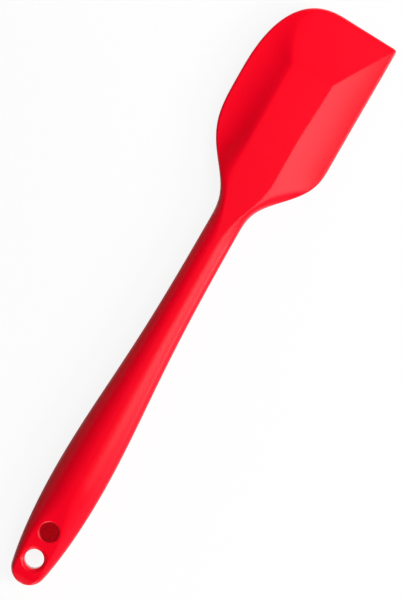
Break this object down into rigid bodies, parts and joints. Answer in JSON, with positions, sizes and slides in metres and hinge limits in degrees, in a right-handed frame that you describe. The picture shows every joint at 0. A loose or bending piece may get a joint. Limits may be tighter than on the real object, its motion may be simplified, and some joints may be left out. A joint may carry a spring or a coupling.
{
  "type": "silicone spatula",
  "caption": "One-piece silicone spatula with a tapered handle, a hang hole, and a thin-rimmed blade that has one rounded corner, one square corner and a raised flat.",
  "frame": {"origin": "centre of the hang hole, half way through the thickness", "axes": "+Y along the handle to the blade's tip, +X to the blade's straight side, +Z out of the front face"},
  "size_m": [0.054, 0.2798, 0.0128],
  "materials": {
    "silicone": "satin red moulded silicone",
    "core_nylon": "matt dark glass-filled nylon"
  },
  "bodies": {
    "root": {"silicone_overmould": "silicone", "nylon_core": "core_nylon"}
  },
  "joints": []
}
